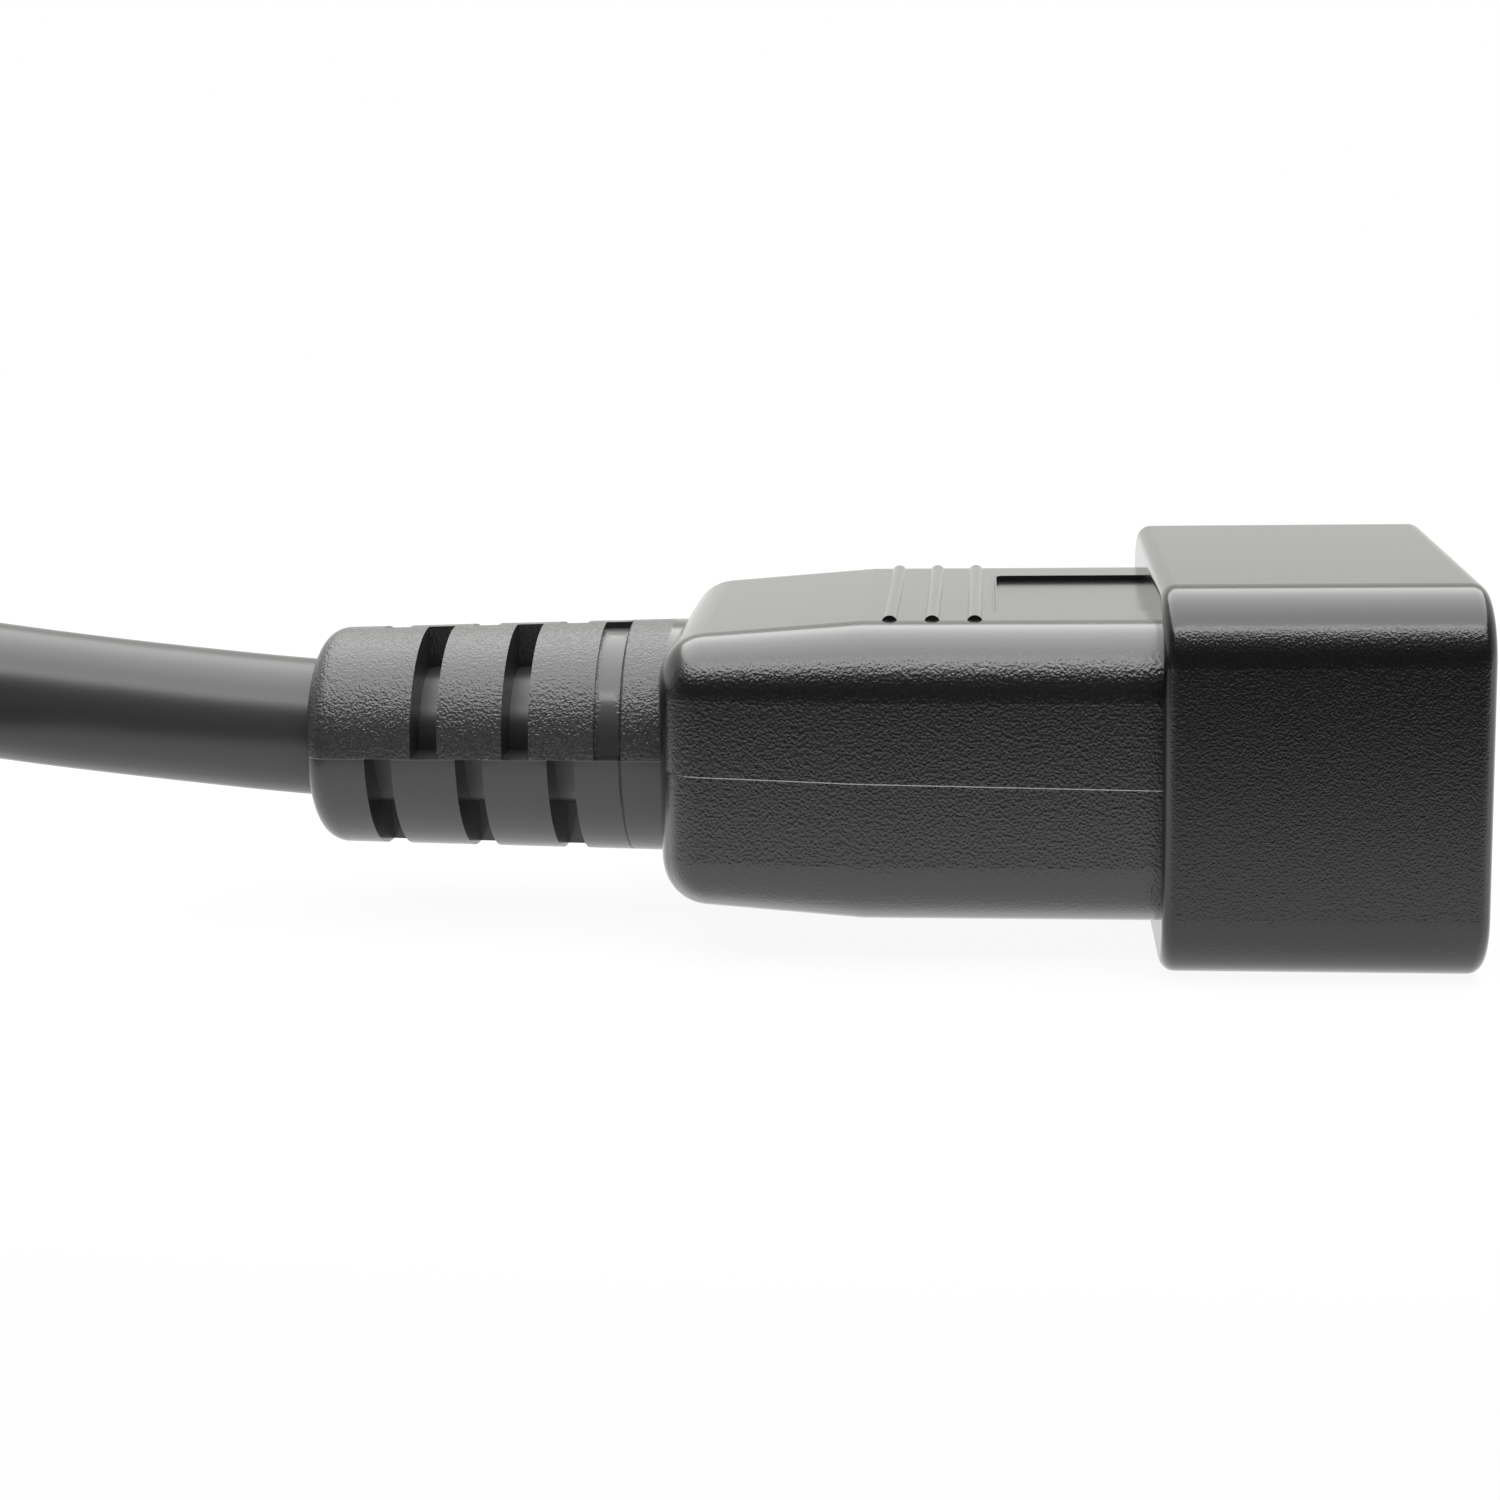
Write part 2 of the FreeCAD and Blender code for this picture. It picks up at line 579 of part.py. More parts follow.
def make_inner_mould(name, prefix, back, skins, place):
    """The hard mould over the crimps, with room for the contacts' crimps, the cores and the jacket."""
    body = new_body(f"{name}_block")
    sketch = new_sketch(body, "block_outline", "YZ_Plane", out=back)
    draw_rectangle(sketch, "inner_width", "inner_height", "inner_corner")
    add_feature(body, "Pad", "block", sketch, "inner_length", back=True)
    for pole, across, up, _ in POLES:
        sketch = new_sketch(body, f"{pole}_neck_outline", "YZ_Plane", across, up, back)
        draw_rectangle(sketch, "neck_width", "neck_thickness")
        add_feature(body, "Pocket", f"{pole}_neck_room", sketch, "neck_length")
        start = f"{back} - neck_length"
        sketch = new_sketch(body, f"{pole}_crimp_outline", "YZ_Plane", across, up, start)
        draw_circle(sketch, CRIMP_OUTSIDE)
        add_feature(body, "Pocket", f"{pole}_crimp_room", sketch, "crimp_length + core_strip")
    sketch = new_sketch(body, "jacket_outline", "YZ_Plane", out=f"{back} - inner_length")
    draw_circle(sketch, "cord_diameter / 2")
    add_feature(body, "Pocket", "jacket_room", sketch, "jacket_grip", back=True)
    room = doc.addObject("Part::MultiFuse", f"{prefix}core_room")
    room.Shapes = skins
    doc.recompute()
    place(cut(name, body, room))


def make_jacket(prefix, back, end, place):
    """The end of the cord's jacket and the filler strings between its cores."""
    front = f"({back} - inner_length + jacket_grip)"
    length = f"{front} - {end}"
    bore = "core_diameter / sqrt(3) + core_diameter / 2 + 2 * core_slip"
    body = new_body(f"{prefix}jacket_end")
    sketch = new_sketch(body, "jacket_outline", "YZ_Plane", out=front)
    draw_circle(sketch, "cord_diameter / 2")
    add_feature(body, "Pad", "jacket", sketch, length, back=True)
    sketch = new_sketch(body, "bore_outline", "YZ_Plane", out=front)
    draw_circle(sketch, bore)
    add_feature(body, "Pocket", "bore", sketch, length)
    place(body)
    strings = []
    for n, angle in enumerate((30, 150, 270)):
        string = doc.addObject("Part::Cylinder", f"{prefix}filler_{n + 1}")
        bind(string, "Radius", "filler_diameter / 2")
        bind(string, "Height", length)
        string.Placement = Placement(Vector(), Rotation(Vector(0, 0, 1), Vector(1, 0, 0)))
        bind(string, "Placement.Base.x", end)
        bind(string, "Placement.Base.y", f"filler_spread * cos({angle})")
        bind(string, "Placement.Base.z", f"filler_spread * sin({angle})")
        strings.append(string)
    fillers = doc.addObject("Part::Compound", f"{prefix}cord_fillers")
    fillers.Links = strings
    fillers.Label = f"{prefix}cord_fillers"
    doc.recompute()
    place(fillers)


# ---------------------------------------------------------------- soft grips

LOWER, UPPER = (0, 2), (1, 3)  # quarters of the lower near and upper far slots, and of the others


def add_relief(body, end, extra):
    """The round strain relief, turned about the axis, with its end rounded. It reaches past its own
    front into the grip's round rear edge."""
    sketch = new_sketch(body, "relief_outline", "XZ_Plane", right=end)
    corners = [
        ("0", "0"),
        ("0", "relief_rear / 2"),
        ("relief_length", "relief_front / 2"),
        (f"relief_length + {extra}", "relief_front / 2"),
        (f"relief_length + {extra}", "0"),
    ]
    draw_polygon(sketch, corners)
    turned = body.newObject("PartDesign::Revolution", "relief")
    turned.Profile = sketch
    turned.ReferenceAxis = (sketch, ["H_Axis"])
    turned.Angle = 360
    doc.recompute()
    dress_edges(body, "Fillet", "relief_end_round", turned, value(end), "relief_round")


def add_slots(body, end):
    """Flex slots down to the cord: three in each lower quarter and two in each upper quarter, where
    the third is only a shallow one."""
    rows = [
        ("lower", LOWER, "slot_first", 3, "cord_diameter / 4"),
        ("upper", UPPER, "slot_first + slot_stagger", 2, "cord_diameter / 4"),
        (
            "blind",
            UPPER,
            "slot_first + slot_stagger + 2 * slot_pitch",
            1,
            "relief_front / 2 - blind_depth",
        ),
    ]
    for name, quarters, first, count, floor in rows:
        sketch = new_sketch(body, f"{name}_slot_outline", "YZ_Plane", out=f"{end} + {first}")
        draw_quarter_rings(sketch, floor, "relief_front", quarters)
        slot = add_feature(body, "Pocket", f"{name}_slot", sketch, "slot_width", back=True)
        if count > 1:
            add_pattern(body, f"{name}_slots", slot, count, "slot_pitch")


def add_inner_room(body, back, end):
    """The room that the tail, its lip, the inner mould and the cord fill."""
    wide, high = "tail_width + 2 * lip_stand", "tail_height + 2 * lip_stand"
    inner_back = f"{back} - tail_length - inner_length"
    rooms = [
        ("tail", back, ("tail_width", "tail_height", "tail_corner"), "tail_length"),
        ("lip", f"{back} - lip_distance", (wide, high, "tail_corner + lip_stand"), "lip_length"),
        (
            "inner",
            f"{back} - tail_length",
            ("inner_width", "inner_height", "inner_corner"),
            "inner_length",
        ),
    ]
    for name, out, outline, depth in rooms:
        sketch = new_sketch(body, f"{name}_room_outline", "YZ_Plane", out=out)
        draw_rectangle(sketch, *outline)
        add_feature(body, "Pocket", f"{name}_room", sketch, depth)
    sketch = new_sketch(body, "cord_room_outline", "YZ_Plane", out=inner_back)
    draw_circle(sketch, "cord_diameter / 2")
    add_feature(body, "Pocket", "cord_room", sketch, f"{inner_back} - {end}")


def add_ribs(body, back, height):
    """Three low round-topped ribs across the upper face."""
    sketch = new_sketch(body, "rib_outline", "XZ_Plane", right=f"{back} - rib_first", out="-rib_reach")
    half, stand, face = value("rib_width / 2"), value("rib_stand"), value(f"{height} / 2")
    for n in range(3):
        x = -value("rib_pitch") * n
        line, arc = 2 * n, 2 * n + 1
        left, right = Vector(x - half, face, 0), Vector(x + half, face, 0)
        sketch.addGeometry(Part.LineSegment(left, right), False)
        sketch.addGeometry(Part.Arc(left, Vector(x, face + stand, 0), right), False)
        # an arc runs anticlockwise, so it starts on the right
        sketch.addConstraint(Sketcher.Constraint("Coincident", line, 2, arc, 1))
        sketch.addConstraint(Sketcher.Constraint("Coincident", line, 1, arc, 2))
        sketch.addConstraint(Sketcher.Constraint("Horizontal", line))
        middle = f"rib_pitch * {n}"
        add_size(sketch, "DistanceX", (line, 1, -1, 1), f"left{n}", f"{middle} + rib_width / 2")
        add_size(sketch, "DistanceX", (line, 2, -1, 1), f"right{n}", f"{middle} - rib_width / 2")
        add_size(sketch, "DistanceY", (-1, 1, line, 1), f"face{n}", f"{height} / 2")
        radius = "(rib_width * rib_width / 4 + rib_stand * rib_stand) / (2 * rib_stand)"
        add_size(sketch, "Radius", (arc,), f"top{n}", radius)
    add_feature(body, "Pad", "ribs", sketch, "2 * rib_reach", back=False)


def add_panel(body, back, height):
    """A shallow sunk panel on the upper face, bare, open to the shroud."""
    middle = f"{back} - (panel_length - panel_corner) / 2"
    sketch = new_sketch(body, "panel_outline", "XY_Plane", right=middle, out=f"{height} / 2")
    draw_rectangle(sketch, "panel_length + panel_corner", "2 * panel_reach", "panel_corner")
    add_feature(body, "Pocket", "panel", sketch, "panel_depth")


def make_grip(name, prefix, back, end, place, plug_face=False):
    """A soft grip moulded in one with its strain relief: straight in front, tapered behind."""
    body = new_body(name)
    outline = (f"{prefix}_width", f"{prefix}_height", f"{prefix}_corner")
    straight, length = f"{prefix}_straight", f"{prefix}_length"
    sketch = new_sketch(body, "front_outline", "YZ_Plane", out=back)
    draw_rectangle(sketch, *outline)
    add_feature(body, "Pad", "front", sketch, straight, back=True)
    sketch = new_sketch(body, "rear_outline", "YZ_Plane", out=f"{back} - {straight}")
    draw_rectangle(sketch, *outline)
    taper = f"-{prefix}_taper"
    rear = add_feature(body, "Pad", "rear", sketch, f"{length} - {straight}", True, taper)
    rear_x = value(f"{back} - {length}")
    dress_edges(body, "Fillet", "rear_round", rear, rear_x, f"{prefix}_rear_round")
    add_relief(body, end, f"{prefix}_rear_round")
    add_slots(body, end)
    if plug_face:
        add_ribs(body, back, f"{prefix}_height")
        add_panel(body, back, f"{prefix}_height")
    add_inner_room(body, back, end)
    place(body)


# ---------------------------------------------------------------- cord

PLUG_END = f"({PLUG_BACK} - grip_length - relief_length)"
FAR_END = f"({FAR_BACK} - far_length - relief_length)"
COIL_X = f"({PLUG_END} - coil_distance)"
COIL_Y = f"({LEAD_SIDE} - coil_radius - cord_diameter)"


def place_far(thing):
    """Lays a piece of the connector on the coil, where the tail ends: its own X is the connector's
    axis."""
    x, y, z = TAIL_ROUTE[-1]
    bind(thing, "Placement.Base.x", f"{COIL_X} + {x} - {FAR_END}")
    bind(thing, "Placement.Base.y", f"{COIL_Y} + {y}")
    bind(thing, "Placement.Base.z", z)


def make_cord(name, points):
    wire, radii = rounded_path(points)
    sweep = make_sweep(name, wire, "cord_diameter / 2")
    sweep.Label = name
    plain = math.pi * value("cord_diameter / 2") ** 2 * wire.Length
    shown = ", ".join(f"{r:.0f}" for r in radii)
    print(f"{name}: {wire.Length:.1f} mm long, radii {shown}, volume {sweep.Shape.Volume:.1f} mm3")
    print(f"  (section times length {plain:.1f} mm3)")


def make_lead():
    """The stretch from the strain relief down to the coil, and the one from the coil to the
    connector."""
    start = value(PLUG_END)
    make_cord("free_cord", [Vector(start + x, y, value(z)) for x, y, z in LEAD_ROUTE])
    x, y = value(COIL_X), value(COIL_Y)
    tail = [Vector(x + across, y + up, value(z)) for across, up, z in TAIL_ROUTE]
    make_cord("cord_tail", tail)


def make_coil():
    """The outer shape of the coil: three turns side by side on the floor and two on top of them."""
    body = new_body("cord_coil")
    sketch = new_sketch(body, "coil_outline", "XZ_Plane")
    wide, narrow = "1.5 * cord_diameter", "cord_diameter"
    top = "cord_diameter + coil_layer"
    shoulder = "cord_diameter * 3 / 4"
    corners = [
        (f"coil_radius - {wide}", "0"),
        (f"coil_radius + {wide}", "0"),
        (f"coil_radius + {wide}", shoulder),
        (f"coil_radius + {narrow}", top),
        (f"coil_radius - {narrow}", top),
        (f"coil_radius - {wide}", shoulder),
    ]
    draw_polygon(sketch, corners)
    turned = body.newObject("PartDesign::Revolution", "coil_ring")
    turned.Profile = sketch
    turned.ReferenceAxis = (sketch, ["V_Axis"])
    turned.Angle = 360
    bind(body, "Placement.Base.x", COIL_X)
    bind(body, "Placement.Base.y", COIL_Y)
    doc.recompute()


# ---------------------------------------------------------------- the whole part


def make_end(prefix, back, end, place):
    """What lies inside a grip: the cores, the mould over the crimps and the jacket's end."""
    rear = f"({back} - tail_length)"
    skins = make_cores(prefix, rear, end, place)
    make_inner_mould(f"{prefix}inner_mould", prefix, rear, skins, place)
    make_jacket(prefix, rear, end, place)


NODES = [
    "shroud_housing",
    "plug_grip",
    *(f"{pole[0]}_blade" for pole in POLES),
    "connector_nose",
    "connector_grip",
    *(f"connector_{pole[0]}_contact" for pole in POLES),
    "free_cord",
    "cord_coil",
    "cord_tail",
]
for prefix in ("plug_", "connector_"):
    NODES += [f"{prefix}inner_mould", f"{prefix}jacket_end", f"{prefix}cord_fillers"]
    for pole in POLES:
        NODES += [f"{prefix}{pole[0]}_core", f"{prefix}{pole[0]}_conductor"]


def export_nodes():
    """Checks every object and writes each piece to parts/LABEL.step."""
    doc.recompute()
    for thing in doc.Objects:
        if "Invalid" in thing.State or "Error" in thing.State:
            raise RuntimeError(f"{thing.Name} failed: {thing.State}")
    os.makedirs("parts", exist_ok=True)
    for name in NODES:
        thing = doc.getObjectsByLabel(name)[0]
        shape = thing.Shape
        if shape.isNull() or not shape.isValid():
            raise RuntimeError(f"{name} has no valid shape")
        shape.exportStep(f"parts/{name}.step")
        print(f"{name}: {len(shape.Solids)} solid, {shape.Volume:.1f} mm3")


make_shroud()
make_blades()
make_grip("plug_grip", "grip", PLUG_BACK, PLUG_END, place_plug, plug_face=True)
make_end("plug_", PLUG_BACK, PLUG_END, place_plug)
make_nose(place_far)
make_contacts(place_far)
make_grip("connector_grip", "far", FAR_BACK, FAR_END, place_far)
make_end("connector_", FAR_BACK, FAR_END, place_far)
make_lead()
make_coil()
export_nodes()
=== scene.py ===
"""Moulded C20 power plug on its lead: looks and studio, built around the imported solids.

Every length in the code is in metres unless its name ends in _MM or _mm. The origin is the centre
of the shroud's lower wide face, +X runs out of the mouth and +Z is up.
"""

import math

import bpy
import numpy as np
from bpy.props import FloatProperty, PointerProperty, StringProperty
from mathutils import Matrix, Vector


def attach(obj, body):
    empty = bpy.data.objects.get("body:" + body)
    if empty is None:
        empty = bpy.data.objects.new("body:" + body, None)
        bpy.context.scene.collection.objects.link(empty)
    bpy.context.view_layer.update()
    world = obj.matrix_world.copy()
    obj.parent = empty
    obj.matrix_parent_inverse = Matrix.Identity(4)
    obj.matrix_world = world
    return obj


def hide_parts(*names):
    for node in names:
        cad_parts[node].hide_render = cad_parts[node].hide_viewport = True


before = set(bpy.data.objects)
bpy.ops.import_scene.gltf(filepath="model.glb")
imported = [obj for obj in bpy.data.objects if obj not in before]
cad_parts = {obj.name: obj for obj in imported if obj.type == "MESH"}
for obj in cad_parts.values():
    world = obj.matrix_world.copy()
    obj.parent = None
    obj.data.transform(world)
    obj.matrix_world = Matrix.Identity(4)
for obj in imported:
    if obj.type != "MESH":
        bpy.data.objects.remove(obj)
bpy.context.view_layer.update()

bl_info = {
    "name": "Moulded power plug and lead",
    "version": (1, 0, 0),
    "blender": (4, 5, 0),
    "location": "View3D > Sidebar > Power Plug",
    "description": "Finishes for a moulded power plug on its lead, and a plain studio round it",
    "category": "Object",
}

MM = 0.001

# ---------------------------------------------------------------- the lead's route, as in the CAD

CORD_DIAMETER_MM = 9.3
AXIS_HEIGHT_MM = 12.2
RELIEF_END_MM = -65.4
COIL_CENTRE_MM = (-135.7, -52.5)
COIL_RADIUS_MM = 47.0
COIL_LAYER_MM = 8.74
CONNECTOR_AXIS_MM = 29.64

# x from the strain relief's end, y and height: the free stretch, up to where the coil begins
LEAD_ROUTE_MM = [
    (1.8, 0.0, 12.5),
    (-3.0, 0.0, 12.88),
    (-8.0, 0.2, 13.35),
    (-14.0, 0.2, 14.0),
    (-21.0, -0.5, 15.05),
    (-28.0, -0.2, 16.0),
    (-36.0, 1.6, 15.75),
    (-45.0, 4.2, 13.3),
    (-54.0, 5.6, 10.2),
    (-63.0, 5.2, 7.4),
]
# x and y from the coil's middle: where the cord enters the connector's strain relief, and how far
# the last two points lie inside it
CONNECTOR_END_MM = (-2.0, -41.0)
CONNECTOR_INSIDE_MM = (0.5, 2.0)
# height at which the free stretch comes down on the coil, and how far the cord rides up where it
# crosses from the lower layer to the upper
COIL_ENTRY_MM = 5.9
CROSSING_LIFT_MM = 0.55
POINTS_PER_TURN = 24
# the climb: the angle at which it leaves the last turn, its radius, and its points
CLIMB_FROM = 150
CLIMB_RADIUS_MM = 44.5
CLIMB_POINTS = 7

# ---------------------------------------------------------------- grain and marks of the moulds

# along the plug, in x: the grip's end, the line that the mould's insert leaves, the slot that is
# only a shallow cut, and the rear lip of the sunk panel
GRIP_END_MM = -41.1
WITNESS_MM = -44.1
BLIND_SLOT_MM = -44.95
PANEL_END_MM = -19.9
# how far the lip reaches to each side, and above the plug's axis, where it begins to show
PANEL_REACH_MM = 6.5
PANEL_TOP_MM = 8
# the parting line's height at x = 0, and how much it falls for each millimetre along +X
PARTING_MM = 11.75
PARTING_SLOPE = 0.02
# half the width of the ledge there, of a fine line, of the line along the strain relief, and of
# the smooth floor of the shallow slot
LEDGE_HALF_MM = 0.07
LINE_HALF_MM = 0.13
SEAM_HALF_MM = 0.08
SLOT_FLOOR_HALF_MM = 1.0
# how far a mark stands out, or in where negative, as a multiple of the leather grain's depth
LEDGE_RISE = 3.0
PANEL_LIP_RISE = -3.0
WITNESS_RISE = -1.5
SEAM_RISE = 0.6
RELIEF_GRAIN_RISE = 3.2
# how fine and how deep the wrinkles are, as multiples of the leather grain
WRINKLE_FINENESS = 1.4
WRINKLE_RISE = 0.9
# grain: width, or distance from dot to dot, and depth
LEATHER_DEPTH_MM = 0.025
RELIEF_GRAIN_MM = 0.19
SPARK_GRAIN_MM = 0.15
SPARK_DEPTH_MM = 0.034
WAVE_MM = 6
WAVE_DEPTH_MM = 0.2


# ---------------------------------------------------------------- sizes and colours to change


class PlugLooks(bpy.types.PropertyGroup):
    housing_colour: StringProperty(
        name="Housing colour",
        description="sRGB hex colour of the rigid shroud and nose",
        default="#0c0c0c",
    )
    grip_colour: StringProperty(
        name="Grip colour",
        description="sRGB hex colour of the soft grips and strain reliefs",
        default="#111111",
    )
    jacket_colour: StringProperty(
        name="Jacket colour",
        description="sRGB hex colour of the cord's jacket",
        default="#303030",
    )
    relief_colour: StringProperty(
        name="Strain relief colour",
        description="sRGB hex colour of the grips' strain reliefs, which the finer grain greys",
        default="#1e1e1e",
    )
    grain_size: FloatProperty(
        name="Leather grain",
        description="Width of one grain of the grip's leathered sides",
        default=0.2 * MM,
        min=0.05 * MM,
        max=2.0 * MM,
        unit="LENGTH",
        precision=5,
    )


class CordLooks(bpy.types.PropertyGroup):
    diameter: FloatProperty(
        name="Cord diameter",
        description="Outside diameter of the jacket",
        default=CORD_DIAMETER_MM * MM,
        min=4 * MM,
        max=14 * MM,
        unit="LENGTH",
        precision=5,
    )


class StudioLooks(bpy.types.PropertyGroup):
    floor_colour: StringProperty(
        name="Floor colour",
        description="sRGB hex colour of the floor",
        default="#f4f4f4",
    )
    overhead: FloatProperty(
        name="Overhead light",
        description="Power of the soft light above the plug",
        default=6.4,
        min=0.0,
        max=50.0,
        unit="POWER",
    )
    backdrop: FloatProperty(
        name="Backdrop brightness",
        description="Brightness of the studio's back wall as the plug sees it",
        default=0.9,
        min=0.0,
        max=3.0,
    )


# ---------------------------------------------------------------- small helpers


def colour(hex_code):
    """An sRGB hex colour as linear RGBA: c/12.92 below 0.04045, else ((c + 0.055)/1.055)^2.4."""
    parts = [int(hex_code[i : i + 2], 16) / 255 for i in (1, 3, 5)]
    linear = [c / 12.92 if c <= 0.04045 else ((c + 0.055) / 1.055) ** 2.4 for c in parts]
    return (*linear, 1.0)


def node(tree, kind, inputs=None, **settings):
    """Adds a shader node with its settings, fills its sockets and returns it. A socket gets a
    value, another node's socket, or a node, which stands for its first output."""
    made = tree.nodes.new("ShaderNode" + kind)
    for name, value in settings.items():
        setattr(made, name, value)
    for name, value in (inputs or {}).items():
        if isinstance(value, bpy.types.Node):
            value = value.outputs[0]
        if isinstance(value, bpy.types.NodeSocket):
            tree.links.new(value, made.inputs[name])
        else:
            made.inputs[name].default_value = value
    return made


def material(name):
    """A new material without nodes, and its node tree."""
    made = bpy.data.materials.new(name)
    made.use_nodes = True
    made.node_tree.nodes.clear()
    return made, made.node_tree


def surface(tree, height, depth, inputs, strength=1.0):
    """The surface itself, with a height as bump of a given depth. A coat follows the same bump."""
    bump = node(tree, "Bump", {"Strength": strength, "Distance": depth, "Height": height})
    inputs = {**inputs, "Normal": bump}
    if "Coat Weight" in inputs:
        inputs["Coat Normal"] = bump
    shader = node(tree, "BsdfPrincipled", inputs)
    node(tree, "OutputMaterial", {"Surface": shader})


# ---------------------------------------------------------------- finishes

# A map range with this setting is a smooth step. Its socket 0 takes the value, 1 and 2 where the
# step begins and ends, and 3 and 4 what it gives there, which is 0 and 1 where they are left out.
STEP = {"interpolation_type": "SMOOTHSTEP"}


def sideways(tree, low, high):
    """0 on the wide flats and 1 on the narrow sides: how far the surface faces along Y, which
    rises to 1 between low and high."""
    facing = node(tree, "TexCoord").outputs["Normal"]
    across = node(tree, "SeparateXYZ", {0: facing}).outputs[1]
    across = node(tree, "Math", {0: across}, operation="ABSOLUTE")
    return node(tree, "MapRange", {0: across, 1: low, 2: high}, **STEP)


def line_at(tree, along, spot, half_width):
    """1 on a fine line across one coordinate, where it is near a spot, and 0 beside it. The line's
    edges are soft over the outer seven tenths of its half width."""
    off = node(tree, "Math", {0: along, 1: spot}, operation="SUBTRACT")
    off = node(tree, "Math", {0: off}, operation="ABSOLUTE")
    inputs = {0: off, 1: 0.3 * half_width, 2: half_width, 3: 1.0, 4: 0.0}
    return node(tree, "MapRange", inputs, **STEP)


def leather_height(tree, where, x, z, grain):
    """Height of the grip's sides: leather grain, as cells with wrinkles over them, and a small
    ledge at the parting line. The lower half stands out, so the ledge catches the light from
    above."""
    inputs = {"Vector": where, "Scale": 1 / grain, "Randomness": 1.0, "Smoothness": 0.55}
    cells = node(tree, "TexVoronoi", inputs, feature="SMOOTH_F1")
    inputs = {"Vector": where, "Scale": WRINKLE_FINENESS / grain, "Detail": 3.0, "Roughness": 0.6}
    wrinkle = node(tree, "TexNoise", inputs)
    inputs = {0: wrinkle, 1: WRINKLE_RISE, 2: cells}
    leather = node(tree, "Math", inputs, operation="MULTIPLY_ADD")
    seam = node(tree, "Math", {0: x, 1: PARTING_SLOPE, 2: z}, operation="MULTIPLY_ADD")
    low, high = (PARTING_MM - LEDGE_HALF_MM) * MM, (PARTING_MM + LEDGE_HALF_MM) * MM
    ledge = node(tree, "MapRange", {0: seam, 1: low, 2: high, 3: 1.0, 4: 0.0}, **STEP)
    return node(tree, "Math", {0: ledge, 1: LEDGE_RISE, 2: leather}, operation="MULTIPLY_ADD")


def panel_lip(tree, x, y, z):
    """1 on the rear lip of the sunk panel, a fine line across the grip's upper flat."""
    line = line_at(tree, x, PANEL_END_MM * MM, LINE_HALF_MM * MM)
    aside = node(tree, "Math", {0: y}, operation="ABSOLUTE")
    end = PANEL_REACH_MM * MM
    reach = node(tree, "MapRange", {0: aside, 1: end, 2: end + 0.1 * MM, 3: 1.0, 4: 0.0}, **STEP)
    low = (AXIS_HEIGHT_MM + PANEL_TOP_MM) * MM
    top = node(tree, "MapRange", {0: z, 1: low, 2: low + 1 * MM}, **STEP)
    upper = node(tree, "Math", {0: reach, 1: top}, operation="MULTIPLY")
    return node(tree, "Math", {0: line, 1: upper}, operation="MULTIPLY")


def relief_height(tree, where, x, z, witness):
    """Height of the strain relief: spark grain on its upper half, but not on the floor of the
    shallow slot, the line of the mould's insert, and the parting line."""
    grain = 1 / (RELIEF_GRAIN_MM * MM)
    inputs = {"Vector": where, "Scale": grain, "Detail": 1.0, "Roughness": 0.6}
    fine = node(tree, "TexNoise", inputs)
    low, high = (AXIS_HEIGHT_MM - 0.05) * MM, (AXIS_HEIGHT_MM + 0.05) * MM
    upper = node(tree, "MapRange", {0: z, 1: low, 2: high}, **STEP)
    spark = node(tree, "Math", {0: fine, 1: upper}, operation="MULTIPLY")
    spark = node(tree, "Math", {0: spark, 1: RELIEF_GRAIN_RISE}, operation="MULTIPLY")
    floor = line_at(tree, x, BLIND_SLOT_MM * MM, SLOT_FLOOR_HALF_MM * MM)
    grained = node(tree, "Math", {0: 1.0, 1: floor}, operation="SUBTRACT")
    spark = node(tree, "Math", {0: spark, 1: grained}, operation="MULTIPLY")
    height = node(tree, "Math", {0: witness, 1: WITNESS_RISE, 2: spark}, operation="MULTIPLY_ADD")
    seam = line_at(tree, z, AXIS_HEIGHT_MM * MM, SEAM_HALF_MM * MM)
    return node(tree, "Math", {0: seam, 1: SEAM_RISE, 2: height}, operation="MULTIPLY_ADD")


